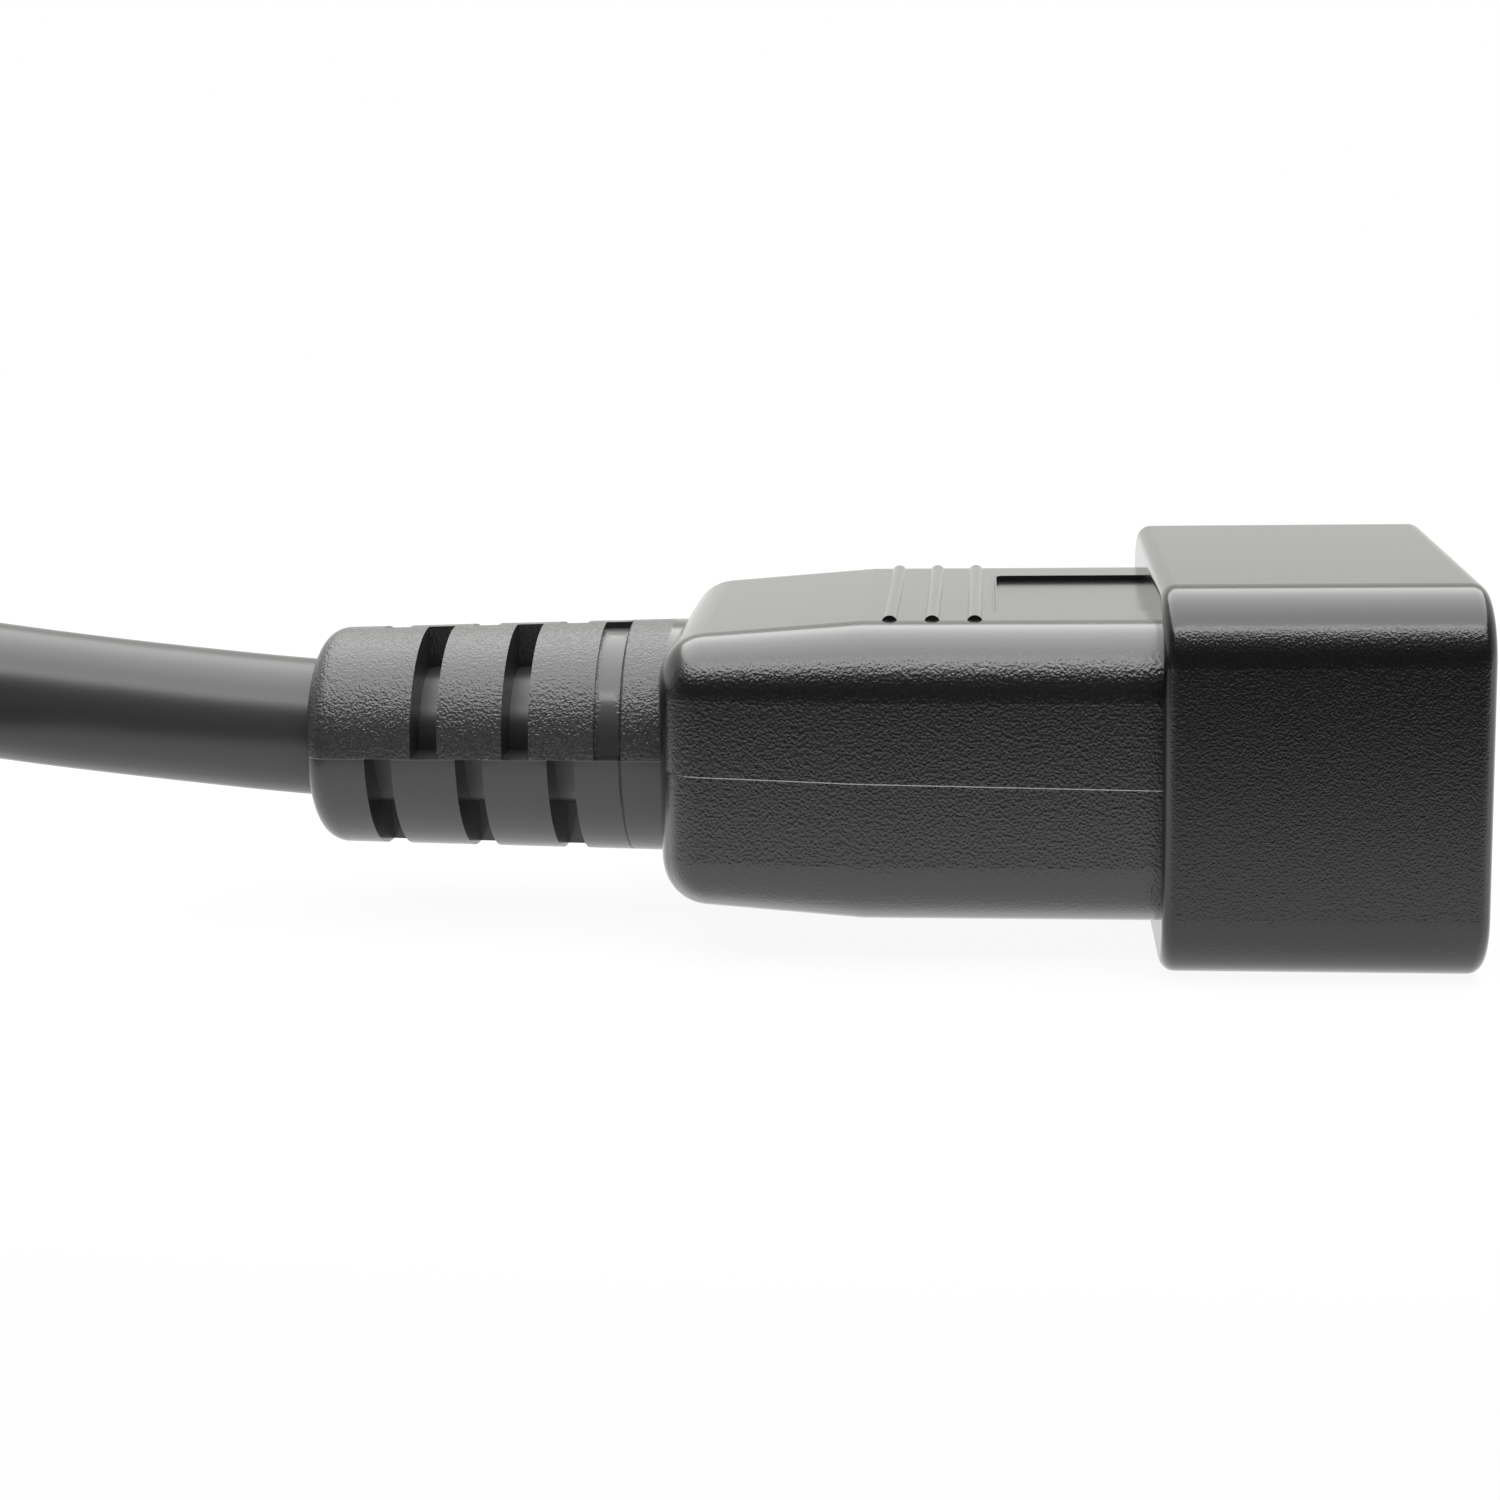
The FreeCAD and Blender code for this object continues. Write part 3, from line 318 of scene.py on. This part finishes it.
def leathered_pvc(name, hex_colour, relief_hex, grain, relief_from=None):
    """Soft PVC, moulded against an etched steel mould: a leather grain on the narrow sides, which
    breaks highlights into glints, and polished flats that mirror softly. Behind relief_from, the
    upper half is spark-grained and looks greyer, and the lower half is satin. Both grains are drawn
    coarser than they are, so that they show."""
    made, tree = material(name)
    where = node(tree, "TexCoord").outputs["Object"]
    x, y, z = node(tree, "SeparateXYZ", {0: where}).outputs
    side = sideways(tree, 0.55, 0.85)
    height = leather_height(tree, where, x, z, grain)
    height = node(tree, "Math", {0: height, 1: side}, operation="MULTIPLY")
    # the flats are a little smoother than the sides
    rough = node(tree, "MapRange", {0: side, 3: 0.24, 4: 0.28}, **STEP)
    shade = colour(hex_colour)
    if relief_from is not None:
        inputs = {0: panel_lip(tree, x, y, z), 1: PANEL_LIP_RISE, 2: height}
        height = node(tree, "Math", inputs, operation="MULTIPLY_ADD")
        inputs = {0: x, 1: relief_from - 0.3 * MM, 2: relief_from, 3: 1.0, 4: 0.0}
        behind = node(tree, "MapRange", inputs, **STEP)
        witness = line_at(tree, x, WITNESS_MM * MM, LINE_HALF_MM * MM)
        turned = relief_height(tree, where, x, z, witness)
        height = node(tree, "Mix", {0: behind, 2: height, 3: turned}, data_type="FLOAT")
        # satin, and in the insert's line nearly dull
        matt = node(tree, "Math", {0: witness, 1: 0.4, 2: 0.5}, operation="MULTIPLY_ADD")
        rough = node(tree, "Mix", {0: behind, 2: rough, 3: matt}, data_type="FLOAT")
        # greyer behind the grip, and painted black in the insert's line: painted shade for its
        # groove
        inputs = {"Factor": behind, "A": shade, "B": colour(relief_hex)}
        shade = node(tree, "Mix", inputs, data_type="RGBA").outputs[2]
        # painted shade: the insert's groove is painted black, where it would lie in shade
        groove_painted_shade = node(tree, "Math", {0: witness, 1: behind}, operation="MULTIPLY")
        inputs = {"Factor": groove_painted_shade, "A": shade, "B": (0, 0, 0, 1)}
        shade = node(tree, "Mix", inputs, data_type="RGBA").outputs[2]
    finish = {"Base Color": shade, "Roughness": rough, "IOR": 1.55}
    finish.update({"Coat Weight": 0.8, "Coat Roughness": 0.17})
    surface(tree, height, LEATHER_DEPTH_MM * MM, finish)
    return made


def grained_abs(name, hex_colour):
    """Rigid thermoplastic, moulded against a spark-eroded steel mould: an even grain of fine dots
    on the narrow sides, which scatters a highlight's edge into glints, and smooth flats. Real dots
    are about 0.05 mm apart, and are drawn coarser, so that they show."""
    made, tree = material(name)
    where = node(tree, "TexCoord").outputs["Object"]
    side = sideways(tree, 0.76, 0.94)
    grain = 1 / (SPARK_GRAIN_MM * MM)
    inputs = {"Vector": where, "Scale": grain, "Detail": 1.0, "Roughness": 0.5}
    fine = node(tree, "TexNoise", inputs)
    height = node(tree, "Math", {0: fine, 1: side}, operation="MULTIPLY")
    # the flats are smoother than the sides
    rough = node(tree, "MapRange", {0: side, 3: 0.18, 4: 0.3}, **STEP)
    finish = {"Base Color": colour(hex_colour), "Roughness": rough, "IOR": 1.52}
    finish.update({"Coat Weight": 0.5, "Coat Roughness": 0.17})
    surface(tree, height, SPARK_DEPTH_MM * MM, finish)
    return made


def extruded_pvc(name, hex_colour):
    """PVC cord jacket, extruded: dark grey, smooth and half glossy, with soft bands of light along
    it and faint waves in them."""
    made, tree = material(name)
    where = node(tree, "TexCoord").outputs["Object"]
    waves = node(tree, "TexNoise", {"Vector": where, "Scale": 1 / (WAVE_MM * MM), "Detail": 1.0})
    finish = {"Base Color": colour(hex_colour), "Roughness": 0.36, "IOR": 1.53}
    finish.update({"Coat Weight": 0.25, "Coat Roughness": 0.28})
    surface(tree, waves, WAVE_DEPTH_MM * MM, finish, strength=0.2)
    return made


def plain(name, hex_colour, roughness, metallic=0.0, grain_mm=0.3, depth_mm=0.01):
    """A finish in one colour for the inner pieces and the metal. A slight unevenness keeps its
    highlights from looking ruled, and is drawn coarser than it is, so that it shows."""
    made, tree = material(name)
    where = node(tree, "TexCoord").outputs["Object"]
    fine = node(tree, "TexNoise", {"Vector": where, "Scale": 1 / (grain_mm * MM), "Detail": 2.0})
    finish = {"Base Color": colour(hex_colour), "Roughness": roughness, "Metallic": metallic}
    surface(tree, fine, depth_mm * MM, finish, strength=0.5)
    return made


def dress(names, finish):
    """Gives CAD nodes a finish in their only material slot."""
    for name in names:
        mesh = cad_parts[name].data
        mesh.materials.clear()
        mesh.materials.append(finish)


# ---------------------------------------------------------------- the lead


def ring_points(turns, radii, heights):
    """Points of a coil about its middle: angle from first to last turn, with the radius and height
    read at each angle. A point at radius r goes to r/cos(pi/n), so that the curve lies at r."""
    steps = int(round((turns[1] - turns[0]) / 360 * POINTS_PER_TURN))
    angle = np.linspace(turns[0], turns[1], steps + 1)
    r = np.interp(angle, *smooth_steps(radii)) / math.cos(math.pi / POINTS_PER_TURN)
    z = np.interp(angle, *smooth_steps(heights))
    x = COIL_CENTRE_MM[0] + r * np.cos(np.radians(angle))
    y = COIL_CENTRE_MM[1] + r * np.sin(np.radians(angle))
    return np.stack([x, y, z], axis=1)


def smooth_steps(stations):
    """Stations (angle, value) filled in with smooth steps 3t^2 - 2t^3 between them."""
    angles, values = [], []
    for (a0, v0), (a1, v1) in zip(stations, stations[1:]):
        t = np.linspace(0, 1, 13)[:-1]
        angles += list(a0 + (a1 - a0) * t)
        values += list(v0 + (v1 - v0) * (3 * t**2 - 2 * t**3))
    return angles + [stations[-1][0]], values + [stations[-1][1]]


def cord_route():
    """Every control point of the lead, in metres: the free stretch, three turns on the floor from
    the outside in, two on top of them from the inside out, and the climb to the connector on a
    circle that touches the last turn from within. Stations are angles in degrees, round and round,
    with a radius or a height."""
    d = CORD_DIAMETER_MM
    lead = np.array(LEAD_ROUTE_MM) + np.array([RELIEF_END_MM, 0, 0])
    outer, middle, inner = COIL_RADIUS_MM + d, COIL_RADIUS_MM, COIL_RADIUS_MM - d
    up_in, up_out = COIL_RADIUS_MM - d / 2, COIL_RADIUS_MM + d / 2
    floor_z, top_z = d / 2, d / 2 + COIL_LAYER_MM
    over_z = top_z + CROSSING_LIFT_MM
    whole = 4 * 360
    last = whole + CLIMB_FROM
    radii = [(90, outer), (330, outer), (450, middle), (690, middle), (810, inner)]
    radii += [(1080, inner), (1170, up_in), (1340, up_in), (whole, up_out), (last, up_out)]
    heights = [(80, COIL_ENTRY_MM), (150, floor_z), (985, floor_z), (1085, over_z)]
    heights += [(1170, over_z), (1215, top_z), (1400, top_z), (1435, over_z), (1520, over_z)]
    heights += [(1700, CONNECTOR_AXIS_MM)]
    coil = ring_points((90, last), radii, heights)
    step = 360 / POINTS_PER_TURN
    angle = CLIMB_FROM + step * np.arange(1, CLIMB_POINTS + 1)
    offset = up_out - CLIMB_RADIUS_MM
    reach = CLIMB_RADIUS_MM / math.cos(math.pi / POINTS_PER_TURN)
    middle_x = COIL_CENTRE_MM[0] + offset * math.cos(math.radians(CLIMB_FROM))
    middle_y = COIL_CENTRE_MM[1] + offset * math.sin(math.radians(CLIMB_FROM))
    x = middle_x + reach * np.cos(np.radians(angle))
    y = middle_y + reach * np.sin(np.radians(angle))
    climb = np.stack([x, y, np.interp(angle + whole, *smooth_steps(heights))], axis=1)
    end_x, end_y = (a + b for a, b in zip(COIL_CENTRE_MM, CONNECTOR_END_MM))
    end = [(end_x + shift, end_y, CONNECTOR_AXIS_MM) for shift in CONNECTOR_INSIDE_MM]
    return np.concatenate([lead, coil, climb, end]) * MM


class PLUG_OT_cord(bpy.types.Operator):
    """One length of cord: from the strain relief down to the floor, round its coil and into the
    connector's strain relief"""

    bl_idname = "plug.cord"
    bl_label = "Cord and coil"

    def execute(self, context):
        looks = context.scene.cord_looks
        points = cord_route()
        curve = bpy.data.curves.new("cord", "CURVE")
        curve.dimensions = "3D"
        curve.bevel_depth = looks.diameter / 2
        curve.bevel_resolution = 10
        curve.resolution_u = 6
        curve.use_fill_caps = True
        spline = curve.splines.new("NURBS")
        spline.points.add(len(points) - 1)
        spline.points.foreach_set("co", np.c_[points, np.ones(len(points))].ravel())
        spline.order_u = 3
        spline.use_endpoint_u = True
        cord = bpy.data.objects.new("cord", curve)
        context.scene.collection.objects.link(cord)
        curve.materials.append(
            extruded_pvc("extruded_pvc_jacket", context.scene.plug_looks.jacket_colour)
        )
        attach(cord, "root")
        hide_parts("free_cord", "cord_coil", "cord_tail")
        return {"FINISHED"}


# ---------------------------------------------------------------- pieces


class PLUG_OT_housings(bpy.types.Operator):
    """Finish of the rigid shroud and of the connector's nose"""

    bl_idname = "plug.housings"
    bl_label = "Rigid housings"

    def execute(self, context):
        looks = context.scene.plug_looks
        dress(
            ["shroud_housing", "connector_nose"],
            grained_abs("spark_grained_abs", looks.housing_colour),
        )
        # polypropylene, moulded against plain steel: mid grey, satin, with soft wide highlights
        dress(["plug_inner_mould", "connector_inner_mould"], plain("inner_pp", "#4a4a4c", 0.5))
        return {"FINISHED"}


class PLUG_OT_grips(bpy.types.Operator):
    """Finish of the soft grips with their strain reliefs"""

    bl_idname = "plug.grips"
    bl_label = "Soft grips"

    def execute(self, context):
        looks = context.scene.plug_looks
        grip = (looks.grip_colour, looks.relief_colour, looks.grain_size)
        dress(["plug_grip"], leathered_pvc("leathered_pvc", *grip, GRIP_END_MM * MM))
        dress(["connector_grip"], leathered_pvc("leathered_pvc_connector", *grip))
        jacket = extruded_pvc("extruded_pvc_end", looks.jacket_colour)
        dress(["plug_jacket_end", "connector_jacket_end"], jacket)
        return {"FINISHED"}


class PLUG_OT_metal(bpy.types.Operator):
    """Finish of the blades, contacts and conductors"""

    bl_idname = "plug.metal"
    bl_label = "Blades, contacts and conductors"

    def execute(self, context):
        poles = ("line", "neutral", "earth")
        # nickel plate over stamped brass: a pale, slightly warm metal that mirrors softly
        nickel = plain("nickel_plate", "#c9c5bc", 0.28, metallic=1.0)
        # spring brass, rolled and bare: yellow, a little softer in the mirror than the nickel
        brass = plain("spring_brass", "#c8a45c", 0.3, metallic=1.0)
        # bare copper strands, bunched: red metal, duller for its many small wires
        copper = plain("bunched_copper", "#c9835c", 0.35, metallic=1.0)
        dress([f"{pole}_blade" for pole in poles], nickel)
        dress([f"connector_{pole}_contact" for pole in poles], brass)
        for end in ("plug", "connector"):
            dress([f"{end}_{pole}_conductor" for pole in poles], copper)
        return {"FINISHED"}


class PLUG_OT_cores(bpy.types.Operator):
    """Finish of the cores' insulation and the cord's filler strings"""

    bl_idname = "plug.cores"
    bl_label = "Cores and fillers"

    def execute(self, context):
        tints = {"line": "#161616", "neutral": "#dcdcd8", "earth": "#1f6b35"}
        # twisted kraft paper: pale brown and dull, with a coarse unevenness
        string = plain("paper_string", "#b9a98a", 0.8, grain_mm=0.5, depth_mm=0.05)
        for pole, tint in tints.items():
            # extruded PVC insulation: a clean colour, smooth and half glossy
            finish = plain(f"core_pvc_{pole}", tint, 0.4)
            dress([f"{end}_{pole}_core" for end in ("plug", "connector")], finish)
        dress(["plug_cord_fillers", "connector_cord_fillers"], string)
        return {"FINISHED"}


# ---------------------------------------------------------------- studio

CAMERA_PLACE_MM = (-20.19, -167.91, 51.59)
CAMERA_DOWN, CAMERA_YAW, CAMERA_ROLL = (math.radians(a) for a in (9.780, -5.997, 1.305))
CAMERA_LENS_MM = 61.40
CAMERA_SHIFT = (0.0171, -0.1106)
BOARD_HALF = 3.0
LAMP_HEIGHT = 0.44
# the front strip's share of the overhead light's power
STRIP_SHARE = 0.27
# the back wall, by the y of the way that a ray goes: dark in front of the first, full behind the
# second, and the level in front. By its z, it fades between two heights to a share.
WALL_DARK, WALL_FULL, FRONT_LEVEL = -0.5, 0.3, 0.055
TOP_FROM, TOP_TO, TOP_SHARE = 0.2, 0.5, 0.85
WALL_TINT = (1, 0.992, 0.955, 1)
# how much of the back wall matt surfaces get
FILL = 0.35
# the board is painted dark in front of the first y and pale behind the second, with this share in
# front: a painted pool of light round the plug, and painted shade before it
BOARD_PAINTED_SHADE_Y, BOARD_PAINTED_LIGHT_Y, BOARD_PAINTED_SHADE_LEVEL = -0.09, -0.03, 0.02
# the share of the board's own shade that the camera sees near the plug, and the distances from the
# origin over which that fades out
SHADE_SHARE, SHADE_FROM, SHADE_TO = 0.07, 0.2, 0.5
# how white gloss and glass see the board
GLOSS_SHARE = 0.88


def camera_turn():
    """Axes of a camera that looks along yaw and down, then rolls about its own line of sight."""
    tilt, yaw, roll = CAMERA_DOWN, CAMERA_YAW, CAMERA_ROLL
    ahead = Vector(
        (math.sin(yaw) * math.cos(tilt), math.cos(yaw) * math.cos(tilt), -math.sin(tilt))
    )
    level = Vector((math.cos(yaw), -math.sin(yaw), 0))
    under = ahead.cross(level)
    right = math.cos(roll) * level + math.sin(roll) * under
    down = -math.sin(roll) * level + math.cos(roll) * under
    return Matrix((right, -down, -ahead)).transposed()


def studio_world(world, strength):
    """White to the camera. To gloss and glass, a back wall in a slightly warm white, which fades
    past the sides to a dark front, and a little towards the top. To matt surfaces, a weaker one."""
    world.use_nodes = True
    tree = world.node_tree
    tree.nodes.clear()
    way = node(tree, "TexCoord").outputs["Generated"]
    _, y, z = node(tree, "SeparateXYZ", {0: way}).outputs
    inputs = {0: y, 1: WALL_DARK, 2: WALL_FULL, 3: FRONT_LEVEL, 4: strength}
    wall = node(tree, "MapRange", inputs, **STEP)
    top = node(tree, "MapRange", {0: z, 1: TOP_FROM, 2: TOP_TO, 3: 1.0, 4: TOP_SHARE}, **STEP)
    wall = node(tree, "Math", {0: wall, 1: top}, operation="MULTIPLY")
    path = node(tree, "LightPath").outputs
    inputs = {0: path["Is Glossy Ray"], 1: path["Is Transmission Ray"]}
    mirrored = node(tree, "Math", inputs, operation="MAXIMUM")
    share = node(tree, "MapRange", {0: mirrored, 3: FILL, 4: 1.0}, **STEP)
    lit = node(tree, "Math", {0: wall, 1: share}, operation="MULTIPLY")
    level = node(tree, "Mix", {0: path["Is Camera Ray"], 2: lit, 3: 1.0}, data_type="FLOAT")
    inputs = {"Factor": path["Is Camera Ray"], "A": WALL_TINT, "B": (1, 1, 1, 1)}
    tint = node(tree, "Mix", inputs, data_type="RGBA").outputs[2]
    glow = node(tree, "Background", {"Color": tint, "Strength": level})
    node(tree, "OutputWorld", {"Surface": glow})


def pale_floor(hex_colour):
    """Matt white board with painted light: as the plug sees it, a painted pool of light round the
    plug and painted shade in front. To the camera it is nearly white by itself, so that shadows
    stay faint, and wholly so far away. Gloss and glass see it nearly as white round the plug, where
    it glows with the same painted pool of light."""
    made, tree = material("matt_white_board")
    where = node(tree, "TexCoord").outputs["Object"]
    y = node(tree, "SeparateXYZ", {0: where}).outputs[1]
    inputs = {0: y, 1: BOARD_PAINTED_SHADE_Y, 2: BOARD_PAINTED_LIGHT_Y, 3: BOARD_PAINTED_SHADE_LEVEL, 4: 1.0}
    # painted light: 1 round the plug and a small share in front, a pool of light painted on the
    # board, with painted shade before it
    near = node(tree, "MapRange", inputs, **STEP)
    inputs = {"Factor": near, "A": (0, 0, 0, 1), "B": colour(hex_colour)}
    board_painted_light = node(tree, "Mix", inputs, data_type="RGBA").outputs[2]
    board = node(tree, "BsdfDiffuse", {"Color": board_painted_light})
    path = node(tree, "LightPath").outputs
    seen = path["Is Camera Ray"]
    # its glow: full to the camera, and the painted pool of light to other rays, of which gloss and
    # glass see most
    level = node(tree, "Math", {0: seen, 1: near}, operation="MAXIMUM")
    glow = node(tree, "Emission", {"Color": (1, 1, 1, 1), "Strength": level})
    distance = node(tree, "VectorMath", {0: where}, operation="LENGTH").outputs[1]
    inputs = {0: distance, 1: SHADE_FROM, 2: SHADE_TO, 3: SHADE_SHARE, 4: 0.0}
    shade = node(tree, "MapRange", inputs, **STEP)
    shade = node(tree, "Math", {0: near, 1: shade}, operation="MULTIPLY")
    white = node(tree, "Math", {0: 1.0, 1: shade}, operation="SUBTRACT")
    white = node(tree, "Math", {0: seen, 1: white}, operation="MULTIPLY")
    inputs = {0: path["Is Glossy Ray"], 1: path["Is Transmission Ray"]}
    mirrored = node(tree, "Math", inputs, operation="MAXIMUM")
    inputs = {0: mirrored, 1: GLOSS_SHARE, 2: white}
    share = node(tree, "Math", inputs, operation="MULTIPLY_ADD")
    mix = node(tree, "MixShader", {0: share, 1: board, 2: glow})
    node(tree, "OutputMaterial", {"Surface": mix})
    return made


class PLUG_OT_studio(bpy.types.Operator):
    """Pale floor, soft lights, white surroundings and the camera"""

    bl_idname = "plug.studio"
    bl_label = "Studio"

    def execute(self, context):
        scene = context.scene
        looks = scene.studio_looks
        half = BOARD_HALF
        corners = [(-half, -half, 0), (half, -half, 0), (half, half, 0), (-half, half, 0)]
        mesh = bpy.data.meshes.new("floor")
        mesh.from_pydata(corners, [], [(0, 1, 2, 3)])
        mesh.materials.append(pale_floor(looks.floor_colour))
        floor = bpy.data.objects.new("floor", mesh)
        scene.collection.objects.link(floor)
        # name, power, width, depth, and middle in x and y: both face the floor below them
        strip = looks.overhead * STRIP_SHARE
        lamps = [
            ("overhead_softbox", looks.overhead, 0.8, 0.84, -0.03, 0.14),
            ("front_strip", strip, 0.8, 0.1, -0.03, -0.33),
        ]
        for name, power, width, depth, x, y in lamps:
            light = bpy.data.lights.new(name, "AREA")
            light.shape = "RECTANGLE"
            light.size = width
            light.size_y = depth
            light.energy = power
            lamp = bpy.data.objects.new(name, light)
            lamp.location = (x, y, LAMP_HEIGHT)
            scene.collection.objects.link(lamp)
        world = bpy.data.worlds.new("studio")
        scene.world = world
        studio_world(world, looks.backdrop)
        lens = bpy.data.cameras.new("camera")
        lens.sensor_width = 36.0
        lens.lens = CAMERA_LENS_MM
        lens.shift_x, lens.shift_y = CAMERA_SHIFT
        lens.clip_start = 0.01
        lens.clip_end = 20
        camera = bpy.data.objects.new("camera", lens)
        spot = Vector(CAMERA_PLACE_MM) * MM
        camera.matrix_world = Matrix.Translation(spot) @ camera_turn().to_4x4()
        scene.collection.objects.link(camera)
        scene.camera = camera
        scene.view_settings.view_transform = "Standard"
        return {"FINISHED"}


# ---------------------------------------------------------------- add-on


class PLUG_PT_panel(bpy.types.Panel):
    bl_label = "Power plug"
    bl_idname = "PLUG_PT_panel"
    bl_space_type = "VIEW_3D"
    bl_region_type = "UI"
    bl_category = "Power Plug"

    def draw(self, context):
        scene = context.scene
        groups = [
            (
                scene.plug_looks,
                ("housing_colour", "grip_colour", "relief_colour", "jacket_colour", "grain_size"),
            ),
            (scene.cord_looks, ("diameter",)),
            (scene.studio_looks, ("floor_colour", "overhead", "backdrop")),
        ]
        for group, names in groups:
            for name in names:
                self.layout.prop(group, name)
        for step in STEPS:
            self.layout.operator(step.bl_idname)


STEPS = (
    PLUG_OT_cord,
    PLUG_OT_housings,
    PLUG_OT_grips,
    PLUG_OT_metal,
    PLUG_OT_cores,
    PLUG_OT_studio,
)
GROUPS = {"plug_looks": PlugLooks, "cord_looks": CordLooks, "studio_looks": StudioLooks}


def register():
    for made in (*GROUPS.values(), *STEPS, PLUG_PT_panel):
        bpy.utils.register_class(made)
    for name, group in GROUPS.items():
        setattr(bpy.types.Scene, name, PointerProperty(type=group))


def unregister():
    for name in GROUPS:
        delattr(bpy.types.Scene, name)
    for made in (PLUG_PT_panel, *reversed(STEPS), *GROUPS.values()):
        bpy.utils.unregister_class(made)


def main():
    register()
    for step in (
        bpy.ops.plug.cord,
        bpy.ops.plug.housings,
        bpy.ops.plug.grips,
        bpy.ops.plug.metal,
        bpy.ops.plug.cores,
        bpy.ops.plug.studio,
    ):
        step()


if __name__ == "__main__":
    main()
